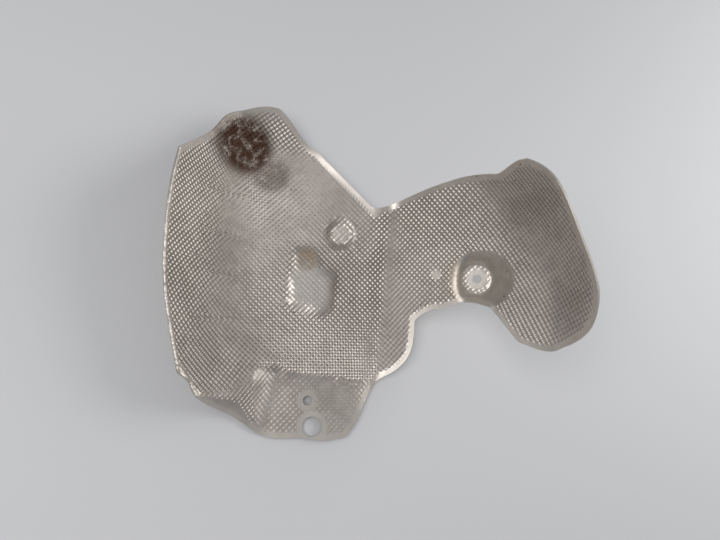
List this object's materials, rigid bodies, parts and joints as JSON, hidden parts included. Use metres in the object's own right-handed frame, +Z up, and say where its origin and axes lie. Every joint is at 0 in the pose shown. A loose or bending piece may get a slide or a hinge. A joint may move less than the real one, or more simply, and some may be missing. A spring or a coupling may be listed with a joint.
{
  "type": "heat shield",
  "caption": "Pressed sheet-metal heat shield, a cradle with a rising wall, an arm with a sunken bolt boss, a scoop and a drilled tab.",
  "frame": {"origin": "centre of the bounding box in plan, on the surface that the part lies on", "axes": "+Z up with the part lying on the back of its panel, +X from the rising wall towards the scoop, +Y from the tab towards the rear edge"},
  "size_m": [0.258, 0.252, 0.1526],
  "materials": {
    "sheet": "embossed, weathered"
  },
  "bodies": {
    "root": {"heat_shield": "sheet"}
  },
  "joints": []
}
